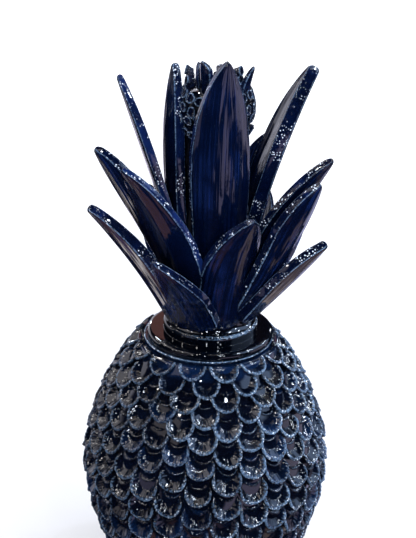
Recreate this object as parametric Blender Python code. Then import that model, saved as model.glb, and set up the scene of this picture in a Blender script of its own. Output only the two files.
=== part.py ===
"""Glazed clay pineapple: a hollow scaled jar, and the lid that carries its trunk, leaves and flower head.

Metres, +Z up. The origin is the middle of the flat underside. Azimuth 0 looks along -Y and turns towards +X.
"""
import math
from typing import NamedTuple

import bmesh
import bpy
import numpy as np
from mathutils import Vector

MM = 0.001
UP = Vector((0.0, 0.0, 1.0))

# Fruit, the outer envelope of the scales' lips: a superellipse above and below its widest height
FRUIT_RADIUS = 125.0
WIDEST_HEIGHT = 163.8
CROWN_RISE = 169.5
CROWN_POWER = 1.48
BASE_DROP = 191.0
BASE_POWER = 1.657
ARC_TOP = 296.0
ARC_STEPS = 1200

# Scales, in columns round the fruit, where each ring is staggered by one column
COLUMNS = 28
RINGS = 22
FIRST_TIP = 17.5
SECOND_TIP = 35.0
RING_PITCH = 12.6
COLUMN_LEAN = -0.025
SCALE_TOP = 19.0
LIP_SINK = 0.0
CUP_SINK = 4.6
GROUND_SINK = 5.0
UNDERCUT_SINK = 5.6
CUP_RISE = 10.0
# Share of a column across from its middle, and millimetres above the lip's lowest point
RIM_POINTS = ((-0.43, 12.0), (-0.25, 1.5), (0.25, 1.5), (0.43, 12.0))
UNDERCUT_POINTS = ((-0.27, -0.6), (0.27, -0.6))

# Collar, mouth and foot of the jar
MOUTH_RADIUS = 61.8
MOUTH_BORE = 50.0
MOUTH_HEIGHT = 292.7
COLLAR_RADIUS = 60.6
FOOT_RADIUS = 60.0
FOOT_HEIGHT = 7.0
WALL = 12.5
WALL_TOP_ARC = 20.0
WALL_RINGS = 6
FLOOR = 9.0
FLOOR_RADIUS = 48.0
# Radius and height, from the top seam of the scales over the rim and down inside the mouth
COLLAR_PROFILE = (
    (COLLAR_RADIUS, MOUTH_HEIGHT - 7.0),
    (MOUTH_RADIUS, MOUTH_HEIGHT - 3.0),
    (MOUTH_RADIUS, MOUTH_HEIGHT),
    (MOUTH_BORE, MOUTH_HEIGHT),
    (MOUTH_BORE, MOUTH_HEIGHT - 9.0),
)
FOOT_PROFILE = (
    (FOOT_RADIUS + 3.0, FOOT_HEIGHT),
    (FOOT_RADIUS + 1.0, 1.2),
    (FOOT_RADIUS, 0.0),
)

# Lid and trunk
LID_RADIUS = 60.6
LID_UNDER = 293.0
LID_TOP = 300.0
LID_SHIFT = 1.8
FLANGE_RADIUS = 46.5
FLANGE_BORE = 40.5
FLANGE_DEPTH = 10.0
TURNED_SIDES = 25
CAVITY_SIDES = 14
BELOW_FLANGE = LID_UNDER - FLANGE_DEPTH - 5.0
HEAD_TOP = 536.0
CROWN_PROFILE = (
    (0.0, HEAD_TOP),
    (28.5, 530.0),
    (31.0, 514.0),
    (29.0, 492.0),
    (33.5, 385.0),
    (38.0, 318.0),
    (43.5, 301.3),
    (LID_RADIUS - 1.6, LID_TOP),
    (LID_RADIUS, LID_TOP - 1.6),
    (LID_RADIUS, LID_UNDER),
    (FLANGE_RADIUS, LID_UNDER),
    (FLANGE_RADIUS, LID_UNDER - FLANGE_DEPTH),
    (0.0, LID_UNDER - FLANGE_DEPTH),
)
CAVITY_PROFILE = (
    (0.0, 492.0),
    (19.0, 484.0),
    (24.0, 385.0),
    (30.0, 306.0),
    (FLANGE_BORE, 294.0),
    (FLANGE_BORE, BELOW_FLANGE),
    (0.0, BELOW_FLANGE),
)

# Flower head
HEAD_ROWS = 3
HEAD_ROUND = 10
HEAD_TURN = 5.0
HEAD_LOW = 503.0
HEAD_ROW_PITCH = 11.5
HEAD_RADIUS = 29.5
HEAD_NARROWING = (0.0, 0.0, 2.5)
HEAD_TILTS = (-18.0, 4.0, 26.0)
BLOSSOM_RADIUS = 7.0
BLOSSOM_LENGTH = 7.0
BLOSSOM_HOLLOW = 3.0
BLOSSOM_SIDES = 5
BLOSSOM_FOOT_SHARE = 0.7
BLOSSOM_TURN = 0.25


class Leaf(NamedTuple):
    """A slab of clay: where it starts and ends, and how its outline, bend and section run."""
    name: str
    azimuth: float
    foot_reach: float
    foot_height: float
    tip_reach: float
    tip_height: float
    bow: float
    width: float
    widest: float
    foot_share: float
    twist: float
    sideways: float
    cup: float
    thick: float


LEAVES = (
    Leaf("front_top", 14, 39, 354, 54, 570, 0, 56, 0.56, 0.67, -20, -1, 12, 8.0),
    Leaf("left_top_inner", -87, 31, 370, 40, 557, 11, 44, 0.43, 0.71, -20, 0, 7, 9.0),
    Leaf("left_top_outer", -78, 33, 375, 89, 546, 2, 44, 0.53, 0.69, -6, 0, 7, 7.5),
    Leaf("right_top", 108, 36, 366, 96, 545, 0, 57, 0.55, 0.68, 28, -2, 9, 12.0),
    Leaf("back_top", -165, 34, 362, 62, 505, 3, 46, 0.50, 0.70, 0, 0, 9, 8.5),
    Leaf("right_back", 142, 36, 352, 84, 498, 2, 46, 0.50, 0.70, 0, 0, 8, 8.5),
    Leaf("left_front_middle", -43, 37, 337, 105, 475, -4, 66, 0.42, 0.71, 0, -6, 9, 6.5),
    Leaf("left_middle", -76, 37, 345, 106, 483, 0, 48, 0.50, 0.70, -30, 0, 9, 9.0),
    Leaf("right_middle", 70, 35, 353, 111, 481, 0, 50, 0.40, 0.70, 20, 2, 10, 7.0),
    Leaf("right_front_middle", 55, 40, 323, 113, 468, 5, 42, 0.64, 0.65, 5, 1, 10, 7.5),
    Leaf("back_middle", 178, 38, 340, 104, 462, 0, 52, 0.45, 0.72, 0, 0, 9, 8.5),
    Leaf("front_low", 22, 39, 313, 80, 435, -5, 56, 0.43, 0.81, -7, 7, 11, 8.0),
    Leaf("left_front_low", -31, 40, 311, 93, 395, -1, 62, 0.45, 0.95, 20, -6, 9, 7.5),
    Leaf("left_low", -65, 43, 312, 121, 432, -4, 52, 0.47, 0.79, -12, -2, 6, 9.0),
    Leaf("right_low", 66, 41, 313, 113, 404, 1, 47, 0.45, 0.78, 8, 2, 7, 9.0),
    Leaf("right_back_low", 112, 42, 316, 116, 398, 2, 50, 0.45, 0.80, 0, 0, 8, 8.5),
    Leaf("back_low", 150, 42, 312, 108, 410, 0, 52, 0.45, 0.80, 0, 0, 8, 8.5),
    Leaf("left_back_low", -140, 42, 313, 110, 412, 0, 52, 0.45, 0.80, 0, 0, 8, 8.5),
)
LEAF_STATIONS = (0.0, 0.12, 0.36, 0.60, 0.83, 1.0)
FOOT_ROUND = 0.10

# Fleshy bracts that stand up round the top of the flower head
BRACTS = (
    # azimuth, reach, top height, width, lean outwards
    (-62, 15, 559, 16, 2),
    (78, 27, 556, 14, 6),
    (8, 14, 545, 15, 2),
    (150, 20, 552, 15, 3),
    (-135, 22, 553, 15, 4),
)
BRACT_FOOT = 524.0
BRACT_SIDES = 6
# Place from foot to top, share of the width, and half the thickness
BRACT_STATIONS = ((0.0, 0.70, 4.5), (0.5, 1.0, 4.5), (0.85, 0.72, 3.6), (1.0, 0.30, 2.0))

# Clean-up after the pieces of the crown are fused
MERGE_DISTANCES = (0.7, 0.6, 0.5, 0.4, 0.3, 0.2, 0.1)

CLAY_BLUE = (0.012, 0.022, 0.075, 1.0)
CLAY_ROUGHNESS = 0.08


def clear_scene():
    for old in list(bpy.data.objects):
        bpy.data.objects.remove(old, do_unlink=True)


def glazed_clay(name):
    material = bpy.data.materials.new(name)
    material.use_nodes = True
    shader = material.node_tree.nodes["Principled BSDF"]
    shader.inputs["Base Color"].default_value = CLAY_BLUE
    shader.inputs["Roughness"].default_value = CLAY_ROUGHNESS
    shader.inputs["Metallic"].default_value = 0.0
    return material


def mesh_object(name, points, faces, material):
    """A named object from points in millimetres."""
    mesh = bpy.data.meshes.new(name)
    mesh.from_pydata([Vector(point) * MM for point in points], [], faces)
    mesh.materials.append(material)
    work = bmesh.new()
    work.from_mesh(mesh)
    bmesh.ops.triangulate(work, faces=[face for face in work.faces if len(face.verts) > 4])
    bmesh.ops.recalc_face_normals(work, faces=work.faces)
    work.to_mesh(mesh)
    work.free()
    thing = bpy.data.objects.new(name, mesh)
    bpy.context.collection.objects.link(thing)
    return thing


def directions(azimuth):
    """Outward and sideways directions at an azimuth in degrees."""
    angle = math.radians(azimuth)
    return Vector((math.sin(angle), -math.cos(angle), 0.0)), Vector((math.cos(angle), math.sin(angle), 0.0))


def around(radius, height, azimuth):
    """A point at a radius, height and azimuth in degrees."""
    angle = math.radians(azimuth)
    return (radius * math.sin(angle), -radius * math.cos(angle), height)


# Fruit envelope by arc length

def fruit_radius(height):
    if height > WIDEST_HEIGHT:
        share = (height - WIDEST_HEIGHT) / CROWN_RISE
        return FRUIT_RADIUS * math.sqrt(max(0.0, 1.0 - share ** CROWN_POWER))
    share = (WIDEST_HEIGHT - height) / BASE_DROP
    return FRUIT_RADIUS * math.sqrt(max(0.0, 1.0 - share ** BASE_POWER))


ARC_HEIGHTS = np.linspace(ARC_TOP, 0.0, ARC_STEPS)
ARC_RADII = np.array([fruit_radius(height) for height in ARC_HEIGHTS])
ARC_LENGTHS = np.concatenate([[0.0], np.cumsum(np.hypot(np.diff(ARC_HEIGHTS), np.diff(ARC_RADII)))])


def on_fruit(arc, sink):
    """Radius and height at an arc length down the envelope, sunk inwards along its normal."""
    step = 1.0
    radius = np.interp(arc, ARC_LENGTHS, ARC_RADII)
    height = np.interp(arc, ARC_LENGTHS, ARC_HEIGHTS)
    low, high = max(arc - step, 0.0), arc + step
    along_r = np.interp(high, ARC_LENGTHS, ARC_RADII) - np.interp(low, ARC_LENGTHS, ARC_RADII)
    along_z = np.interp(high, ARC_LENGTHS, ARC_HEIGHTS) - np.interp(low, ARC_LENGTHS, ARC_HEIGHTS)
    length = math.hypot(along_r, along_z)
    return radius + sink * along_z / length, height - sink * along_r / length


def tip_arc(ring):
    """Arc length of the lips' lowest points in a ring of scales."""
    return FIRST_TIP if ring == 0 else SECOND_TIP + RING_PITCH * (ring - 1)


def seam_arc(ring):
    """Arc length of the points where the cells of neighbouring columns meet."""
    return SECOND_TIP + RING_PITCH * (ring - 1) - SCALE_TOP


class JarMesh:
    """Points and faces of the jar, where the seams between columns are shared."""

    def __init__(self):
        self.points = []
        self.faces = []
        self.seams = {}

    def add(self, radius, height, azimuth):
        self.points.append(around(radius, height, azimuth))
        return len(self.points) - 1

    def on_scale(self, column, arc, sink):
        radius, height = on_fruit(arc, sink)
        turn = column * 360.0 / COLUMNS + COLUMN_LEAN * (arc - SECOND_TIP)
        return self.add(radius, height, turn)

    def seam(self, column, ring):
        key = (column % COLUMNS, ring)
        if key not in self.seams:
            self.seams[key] = self.on_scale(column - 0.5, max(seam_arc(ring), 1.0), GROUND_SINK)
        return self.seams[key]

    def scale(self, column, ring):
        """One cupped scale in its cell, with a proud half-round lip and an undercut step below it."""
        tip = tip_arc(ring)
        top_left, top_right = self.seam(column, ring), self.seam(column + 1, ring)
        mid_left, mid_right = self.seam(column, ring + 1), self.seam(column + 1, ring + 1)
        low_left, low_right = self.seam(column, ring + 2), self.seam(column + 1, ring + 2)
        cup = self.on_scale(column, tip - CUP_RISE, CUP_SINK)
        rim = [self.on_scale(column + across, tip - rise, LIP_SINK)
               for across, rise in RIM_POINTS]
        under = [self.on_scale(column + across, tip - rise, UNDERCUT_SINK)
                 for across, rise in UNDERCUT_POINTS]
        self.faces += [
            (top_left, rim[0], cup), (top_left, cup, top_right), (top_right, cup, rim[3]),
            (top_left, mid_left, rim[0]), (top_right, rim[3], mid_right),
            (rim[0], mid_left, under[0]), (rim[0], under[0], rim[1]),
            (rim[1], under[0], under[1]), (rim[1], under[1], rim[2]),
            (rim[3], rim[2], under[1]), (rim[3], under[1], mid_right),
            (cup, rim[0], rim[1]), (cup, rim[1], rim[2]), (cup, rim[2], rim[3]),
            (mid_left, low_left, under[0]), (under[0], low_left, low_right),
            (under[0], low_right, under[1]), (under[1], low_right, mid_right),
        ]

    def circle(self, radius, height):
        return [self.add(radius, height, (column - 0.5) * 360.0 / COLUMNS) for column in range(COLUMNS)]

    def bridge(self, upper, lower):
        for index in range(COLUMNS):
            after = (index + 1) % COLUMNS
            self.faces.append((upper[index], lower[index], lower[after], upper[after]))

    def skirt(self, circle, profile):
        """Bands from a circle of points through the radii and heights of a profile."""
        for radius, height in profile:
            lower = self.circle(radius, height)
            self.bridge(circle, lower)
            circle = lower
        return circle

    def cap(self, circle, height):
        middle = self.add(0.0, height, 0.0)
        for index in range(COLUMNS):
            self.faces.append((circle[index], middle, circle[(index + 1) % COLUMNS]))


def jar_body(material):
    """The hollow fruit: scales outside, a plain collar and mouth, a low foot and a smooth inner wall."""
    jar = JarMesh()
    for ring in range(RINGS):
        for column in range(COLUMNS):
            if (ring + column) % 2 == 1:
                jar.scale(column, ring)
    for column in range(COLUMNS):
        for ring, parity in ((0, 0), (RINGS, RINGS + 1)):
            if (column + parity) % 2 == 0:
                jar.faces.append((jar.seam(column, ring), jar.seam(column, ring + 1),
                                  jar.seam(column + 1, ring + 1), jar.seam(column + 1, ring)))

    wall_arcs = np.linspace(WALL_TOP_ARC, seam_arc(RINGS) + 6.0, WALL_RINGS)
    wall_profile = [on_fruit(arc, WALL) for arc in wall_arcs]
    inside = [(radius, height) for radius, height in wall_profile if height > FLOOR + 4.0]
    rim = jar.skirt([jar.seam(column, 0) for column in range(COLUMNS)], COLLAR_PROFILE)
    jar.cap(jar.skirt(rim, inside + [(FLOOR_RADIUS, FLOOR)]), FLOOR)
    jar.cap(jar.skirt([jar.seam(column, RINGS + 1) for column in range(COLUMNS)], FOOT_PROFILE), 0.0)
    return mesh_object("jar_body", jar.points, jar.faces, material)


# Lid, trunk and flower head

def turned(name, profile, sides, material):
    """A solid of revolution from a closed profile that starts and ends on the axis."""
    points = []
    rings = []
    for radius, height in profile:
        if radius < 1e-6:
            points.append((0.0, 0.0, height))
            rings.append([len(points) - 1])
            continue
        rings.append(list(range(len(points), len(points) + sides)))
        points += [around(radius, height, index * 360.0 / sides) for index in range(sides)]
    faces = []
    for upper, lower in zip(rings, rings[1:]):
        for index in range(sides):
            after = (index + 1) % sides
            if len(upper) == 1:
                faces.append((upper[0], lower[index], lower[after]))
            elif len(lower) == 1:
                faces.append((upper[index], lower[0], upper[after]))
            else:
                faces.append((upper[index], lower[index], lower[after], upper[after]))
    return mesh_object(name, points, faces, material)


def width_share(place, leaf):
    """Share of the full width at a place from 0 at the foot to 1 at the tip."""
    if place < leaf.widest:
        share = leaf.foot_share + (1.0 - leaf.foot_share) * math.sin(place / leaf.widest * math.pi / 2.0)
        if place < FOOT_ROUND:
            share *= 0.55 + 0.45 * math.sqrt(1.0 - (1.0 - place / FOOT_ROUND) ** 2)
        return share
    past = (place - leaf.widest) / (1.0 - leaf.widest)
    return 0.94 * max(0.0, 1.0 - past ** 1.9) ** 0.85 + 0.06 * (1.0 - past ** 8) + 0.02


def leaf_frame(leaf, place):
    """Middle point, sideways direction and inward direction of a leaf at a place along it."""
    outward, sideways = directions(leaf.azimuth)
    foot = Vector((leaf.foot_reach, leaf.foot_height))
    tip = Vector((leaf.tip_reach, leaf.tip_height))
    run = (tip - foot).normalized()
    control = (foot + tip) / 2.0 + Vector((run.y, -run.x)) * leaf.bow * 2.0
    rest = 1.0 - place
    middle = foot * rest ** 2 + control * (2.0 * place * rest) + tip * place ** 2
    slope = ((control - foot) * rest + (tip - control) * place).normalized()
    normal = outward * slope.y - UP * slope.x
    turn = math.radians(leaf.twist) * place
    across = sideways * math.cos(turn) + normal * math.sin(turn)
    inward = sideways * math.sin(turn) - normal * math.cos(turn)
    centre = outward * middle.x + UP * middle.y + sideways * (leaf.sideways * place ** 2)
    return centre, across, inward


def slab_leaf(leaf, material):
    """A closed slab: the outer face, the inner face and the cut edge between them."""
    points = []
    spread = (-1.0, 0.0, 1.0)
    for place in LEAF_STATIONS:
        centre, across, inward = leaf_frame(leaf, place)
        share = width_share(place, leaf)
        half = leaf.width / 2.0 * share
        outer = [centre + across * (half * side) + inward * (leaf.cup * share * side * side)
                 for side in spread]
        inner = [outer[-1] + inward * leaf.thick, outer[0] + inward * leaf.thick]
        points += outer + inner
    around_section = len(spread) + 2
    faces = []
    for station in range(len(LEAF_STATIONS) - 1):
        base = station * around_section
        for index in range(around_section):
            after = (index + 1) % around_section
            faces.append((base + index, base + after,
                          base + around_section + after, base + around_section + index))
    last = (len(LEAF_STATIONS) - 1) * around_section
    for first in (0, last):
        faces += [(first, first + 1, first + 4), (first + 1, first + 2, first + 3, first + 4)]
    return mesh_object("leaf_" + leaf.name, points, faces, material)


def blossom(azimuth, height, reach, tilt, index, material):
    """A short cup with a sunk middle that points outwards from the head."""
    outward, sideways = directions(azimuth)
    lift = math.radians(tilt)
    axis = outward * math.cos(lift) + UP * math.sin(lift)
    rise = UP * math.cos(lift) - outward * math.sin(lift)
    foot = outward * reach + UP * height
    points = []
    for radius, along in ((BLOSSOM_RADIUS * BLOSSOM_FOOT_SHARE, 0.0), (BLOSSOM_RADIUS, BLOSSOM_LENGTH)):
        for side in range(BLOSSOM_SIDES):
            turn = (side + BLOSSOM_TURN) * 2.0 * math.pi / BLOSSOM_SIDES
            spread = sideways * math.cos(turn) + rise * math.sin(turn)
            points.append(foot + axis * along + spread * radius)
    points.append(foot + axis * (BLOSSOM_LENGTH - BLOSSOM_HOLLOW))
    sides = BLOSSOM_SIDES
    faces = [tuple(range(sides))]
    for side in range(sides):
        after = (side + 1) % sides
        faces.append((side, after, sides + after, sides + side))
        faces.append((sides + side, sides + after, 2 * sides))
    return mesh_object("blossom_%02d" % index, points, faces, material)


def bract(spec, index, material):
    """A thick rounded petal that stands up from the top of the head."""
    azimuth, reach, top, width, lean = spec
    outward, sideways = directions(azimuth)
    points = []
    for place, share, half_thick in BRACT_STATIONS:
        centre = outward * (reach + lean * place) + UP * (BRACT_FOOT + (top - BRACT_FOOT) * place)
        for side in range(BRACT_SIDES):
            turn = side * 2.0 * math.pi / BRACT_SIDES
            points.append(centre + sideways * (width / 2.0 * share * math.cos(turn))
                          + outward * (half_thick * math.sin(turn)))
    last = (len(BRACT_STATIONS) - 1) * BRACT_SIDES
    faces = [tuple(range(BRACT_SIDES)), tuple(range(last, last + BRACT_SIDES))]
    for low in range(0, last, BRACT_SIDES):
        high = low + BRACT_SIDES
        for side in range(BRACT_SIDES):
            after = (side + 1) % BRACT_SIDES
            faces.append((low + side, low + after, high + after, high + side))
    return mesh_object("bract_%d" % index, points, faces, material)


def bake_boolean(target, others, operation):
    """Joins or cuts the target with the others, one after another, and removes them."""
    for other in others:
        step = target.modifiers.new("join", "BOOLEAN")
        step.operation = operation
        step.solver = "EXACT"
        step.object = other
        graph = bpy.context.evaluated_depsgraph_get()
        shaped = bpy.data.meshes.new_from_object(target.evaluated_get(graph))
        target.modifiers.clear()
        target.data = shaped
        bpy.data.objects.remove(other, do_unlink=True)


def drop_crumbs(work):
    """Keeps the largest shell, because a cut can leave a sliver of its own behind."""
    shells = []
    left = set(work.verts)
    while left:
        shell = {left.pop()}
        edge_of_shell = list(shell)
        while edge_of_shell:
            vert = edge_of_shell.pop()
            for edge in vert.link_edges:
                other = edge.other_vert(vert)
                if other not in shell:
                    shell.add(other)
                    edge_of_shell.append(other)
        left -= shell
        shells.append(shell)
    largest = max(shells, key=len)
    crumbs = [vert for vert in work.verts if vert not in largest]
    bmesh.ops.delete(work, geom=crumbs, context="VERTS")


def clean_skin(thing):
    """Merges the points that crowd where pieces cross, by the widest distance that keeps one closed skin."""
    for distance in MERGE_DISTANCES:
        work = bmesh.new()
        work.from_mesh(thing.data)
        drop_crumbs(work)
        bmesh.ops.remove_doubles(work, verts=work.verts, dist=distance * MM)
        closed = all(len(edge.link_faces) == 2 for edge in work.edges)
        if closed:
            work.to_mesh(thing.data)
        work.free()
        if closed:
            return


def crown_lid(material):
    """Lid disc, trunk, leaves and flower head, fused as one piece of clay."""
    crown = turned("crown_lid", CROWN_PROFILE, TURNED_SIDES, material)
    leaves = [slab_leaf(leaf, material) for leaf in LEAVES]
    blossoms = []
    for row in range(HEAD_ROWS):
        for place in range(HEAD_ROUND):
            azimuth = HEAD_TURN + (place + 0.5 * (row % 2)) * 360.0 / HEAD_ROUND
            height = HEAD_LOW + HEAD_ROW_PITCH * row
            reach = HEAD_RADIUS - HEAD_NARROWING[row]
            blossoms.append(blossom(azimuth, height, reach, HEAD_TILTS[row], len(blossoms), material))
    bracts = [bract(spec, index, material) for index, spec in enumerate(BRACTS)]
    bake_boolean(crown, leaves + blossoms + bracts, "UNION")
    bake_boolean(crown, [turned("trunk_cavity", CAVITY_PROFILE, CAVITY_SIDES, material)], "DIFFERENCE")
    clean_skin(crown)
    crown.location.x = LID_SHIFT * MM
    return crown


def main():
    clear_scene()
    jar_body(glazed_clay("body glaze"))
    crown_lid(glazed_clay("crown glaze"))


main()
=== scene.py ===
"""Looks of the glazed clay pineapple: the scaled jar, and the lid with its trunk, leaves and flower head.

Sizes are millimetres in the part's own frame. Azimuth 0 looks along -Y and turns towards +X.
"""
import math
from typing import NamedTuple

import bmesh
import bpy
import numpy as np
from mathutils import Matrix, Vector

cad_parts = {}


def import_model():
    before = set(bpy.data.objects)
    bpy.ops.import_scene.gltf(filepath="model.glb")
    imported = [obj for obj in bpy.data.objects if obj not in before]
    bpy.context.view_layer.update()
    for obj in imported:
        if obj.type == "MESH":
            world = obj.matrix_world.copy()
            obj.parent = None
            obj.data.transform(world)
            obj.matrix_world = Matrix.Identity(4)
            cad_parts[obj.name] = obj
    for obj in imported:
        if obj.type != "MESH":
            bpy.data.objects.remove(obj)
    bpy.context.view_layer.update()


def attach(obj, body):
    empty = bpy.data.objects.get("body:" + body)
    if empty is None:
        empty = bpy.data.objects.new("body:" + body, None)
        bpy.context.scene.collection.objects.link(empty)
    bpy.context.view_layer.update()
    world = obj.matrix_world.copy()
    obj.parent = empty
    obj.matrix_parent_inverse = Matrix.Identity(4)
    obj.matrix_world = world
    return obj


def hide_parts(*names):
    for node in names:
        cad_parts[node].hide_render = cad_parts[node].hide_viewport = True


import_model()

MM = 0.001
UP = np.array((0.0, 0.0, 1.0))
SEED = 41

# Camera at the photograph's viewing angle, in metres and degrees
CAMERA_PLACE = (0.0, -1.07907, 0.82499)
CAMERA_PITCH = 23.335
CAMERA_YAW = -0.1
CAMERA_ROLL = 1.5
CAMERA_LENS = 83.53
CAMERA_SENSOR = 36.0

# Fruit envelope over the scales' lips: a superellipse above and below its widest height
FRUIT_RADIUS = 125.0
WIDEST_HEIGHT = 163.8
CROWN_RISE = 169.5
CROWN_POWER = 1.48
BASE_DROP = 191.0
BASE_POWER = 1.657
ARC_TOP = 296.0
ARC_STEPS = 1200

# Scales, in columns round the fruit, where each ring is staggered by one column
COLUMNS = 28
RINGS = 22
BAND_RINGS = 6
FIRST_TIP = 17.5
SECOND_TIP = 35.0
RING_PITCH = 12.6
COLUMN_LEAN = -0.025
TOP_ARC = 2.0
SCALE_HALF_WIDTH = 14.0
SCALE_DROP = 15.0
SCALE_TILT = 0.17
# Points round a scale: fine over a span in degrees to both sides of its tip, coarse where it is buried
SCALE_FINE = 73
SCALE_COARSE = 8
SCALE_FINE_SPAN = 100.0
# How near the envelope and how far below it a scale may go
SHALLOWEST_RISE = -0.05
DEEPEST_RISE = -11.8
# The upper half sinks under its neighbours, from an angle off the tip, and the tip turns in
UPPER_DROP = 6.0
UPPER_FROM = 80.0
UPPER_FADE = 70.0
TIP_TURN_IN = 1.5
TIP_TURN_LENGTH = 6.0
# The cup's floor climbs towards the tip, inside a share of the reach
FLOOR_TILT = 0.04
FLOOR_SHARE = 0.92
FLOOR_FADE = 0.35
# Radial grooves: least and most in a fan in degrees, share of the full depth, and where they end
GROOVE_DEPTH = 0.60
GROOVES = (10, 14)
GROOVE_FAN = 200.0
GROOVE_SHARES = (0.1, 1.0)
GROOVE_END = 96.0
GROOVE_FADE = 20.0
# Unevenness of the hand: ranges and spreads of single draws, and waves round a scale
PHASE_SPAN = 6.3
SCALE_SIZES = (0.95, 1.07)
SCALE_DEPTHS = (0.85, 1.12)
SCALE_SETTLES = (-1.2, 0.0)
SCALE_SWAY = 5.0
SCALE_ASIDE = 0.6
SCALE_ALONG = 0.7
OUTLINE_WAVES = (0.025, 0.02, 0.012, 0.01)
GROOVE_WAVES = (0.0, 0.6, 0.5)
LIP_SINK = 0.35
LIP_WAVES = (0.3, 0.5, 0.3)
LIP_LUMPS = (0.0,) * 6 + (0.10, 0.08, 0.12, 0.08, 0.10, 0.08)
# Grit stands only on an edge that is worn enough
LIP_GRIT = 0.42
CRUSTY_FROM = 0.75
CRUSTY_SPAN = 0.2
# How much less pale the broken edges are on the side away from +X, as a share, painted light that leaves +X
# looking lit (for the scales it calms their grooves too), and how fast the grooves calm there
SCALES_SHADED_SIDE = 0.50
LID_SHADED_SIDE = 0.90
GROOVE_CALM = 2.4
# Worn edges fade out towards the buried half, and a groove takes a share of the worn edge and the blue
WORN_SHARES = (0.75, 1.0)
WORN_END = 125.0
WORN_FADE = 40.0
GROOVE_WORN = 0.75
# Taking blue from a groove darkens it: partly pooled glaze, partly painted shade
GROOVE_BLUE = 0.5
# Section of a scale from its cup's middle over the lip: reach as a share, rise, worn edge, blue glaze, groove
# Low blue leaves the cup's middle and the lip's underside near black: partly pooled glaze, partly painted
# shade
CUP_SECTION = (
    (0.20, -7.7, 0.0, 0.1, 0.0),
    (0.38, -6.7, 0.0, 0.2, 0.2),
    (0.52, -5.4, 0.0, 0.4, 0.7),
    (0.64, -4.0, 0.1, 0.8, 1.0),
    (0.74, -2.5, 0.4, 1.0, 1.0),
    (0.81, -1.2, 0.8, 1.0, 0.7),
    (0.87, -0.3, 1.0, 0.7, 0.2),
    (0.93, 0.0, 1.0, 0.5, 0.0),
    (0.985, -0.5, 1.0, 0.5, 0.0),
    (1.02, -2.1, 0.6, 0.5, 0.0),
    (0.99, -4.4, 0.0, 0.1, 0.0),
    (0.88, -9.0, 0.0, 0.0, 0.0),
)
CUP_MIDDLE_RISE = -8.3
BURIED_RISE = -8.5

# Lips of the scales in the layer below, which show as slivers under the proud ones
HIDDEN_LIFT = 4.1
HIDDEN_RISE = -4.2
HIDDEN_HALF_WIDTH = 12.6
HIDDEN_SPAN = 74.0
HIDDEN_SINK = 1.8
HIDDEN_FINE = 29
HIDDEN_GROOVES = 18.0
HIDDEN_GRIT = 0.84
HIDDEN_SIZES = (0.92, 1.06)
HIDDEN_WAVES = (0.03, 0.02, 0.02)
HIDDEN_SETTLES = (-1.2, 0.2)
HIDDEN_WORN = (0.0, 0.45)
HIDDEN_ASTRAY = 0.7
# Columns as for a cup; low blue leaves the hidden lip's underside near black, partly pooled glaze and partly
# painted shade
LIP_SECTION = (
    (0.66, -3.8, 0.0, 0.6, 0.6),
    (0.78, -2.1, 0.1, 0.9, 1.0),
    (0.87, -0.5, 0.5, 0.5, 0.4),
    (0.93, 0.0, 1.0, 0.4, 0.0),
    (0.985, -0.6, 0.6, 0.3, 0.0),
    (1.0, -2.4, 0.0, 0.2, 0.0),
    (0.88, -5.6, 0.0, 0.0, 0.0),
)

# Collar, mouth, inner wall and foot of the jar
SHELL_SIDES = 168
GROUND_RISE = -9.0
WALL = 12.5
MOUTH_HEIGHT = 292.7
MOUTH_RADIUS = 50.0
RIM_RADIUS = 61.8
FOOT_RADIUS = 60.0
FLOOR = 9.0
FLOOR_RADIUS = 46.0
UNDER_HEIGHT = 1.2
# The collar runs into the ground between the scales: arc lengths and rises
COLLAR_ARCS = (3.0, 6.0, 9.0, 13.0)
COLLAR_RISES = (-6.0, -6.6, -7.6, -8.6)

# Lid, trunk and the core of the flower head
LID_SIDES = 144
LID_RADIUS = 60.6
LID_UNDER = 293.0
LID_TOP = 300.0
LID_SHIFT = np.array((1.8, 0.0, 0.0))
LID_EDGE = 4.2
FLANGE_RADIUS = 46.5
FLANGE_BORE = 40.5
FLANGE_FOOT = 283.0
CORE_RADIUS = 31.0
TRUNK_HEIGHTS = (300, 385, 492)
TRUNK_RADII = (39.4, 33.5, 28.6)
LID_UNEVENNESS = 0.22
# Waves of the hand on turned work: how many go round, the height for a turn of lean, phase and share
HAND_WAVES = ((2, 37.0, 0.0, 1.0), (3, -21.0, 1.0, 0.6), (5, 13.0, 2.0, 0.4))

# Lamps all round in rows of lift in degrees and how many, in metres and watts, warmer on the far left
LAMP_DISTANCE = 2.3
LAMP_SIZE = 0.12
LAMP_WATTS = 2.7
LAMP_LEAN = 0.7
LAMP_SIZES = (0.7, 1.2)
LAMP_SWAY = 7.0
LAMP_NOD = 3.0
WARM_SIDE = -0.3
COOL = (0.80, 0.89, 1.0)
WARM = (1.0, 0.97, 0.94)
LAMP_ROWS = ((22.0, 8), (36.0, 9), (50.0, 8), (66.0, 5))

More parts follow.
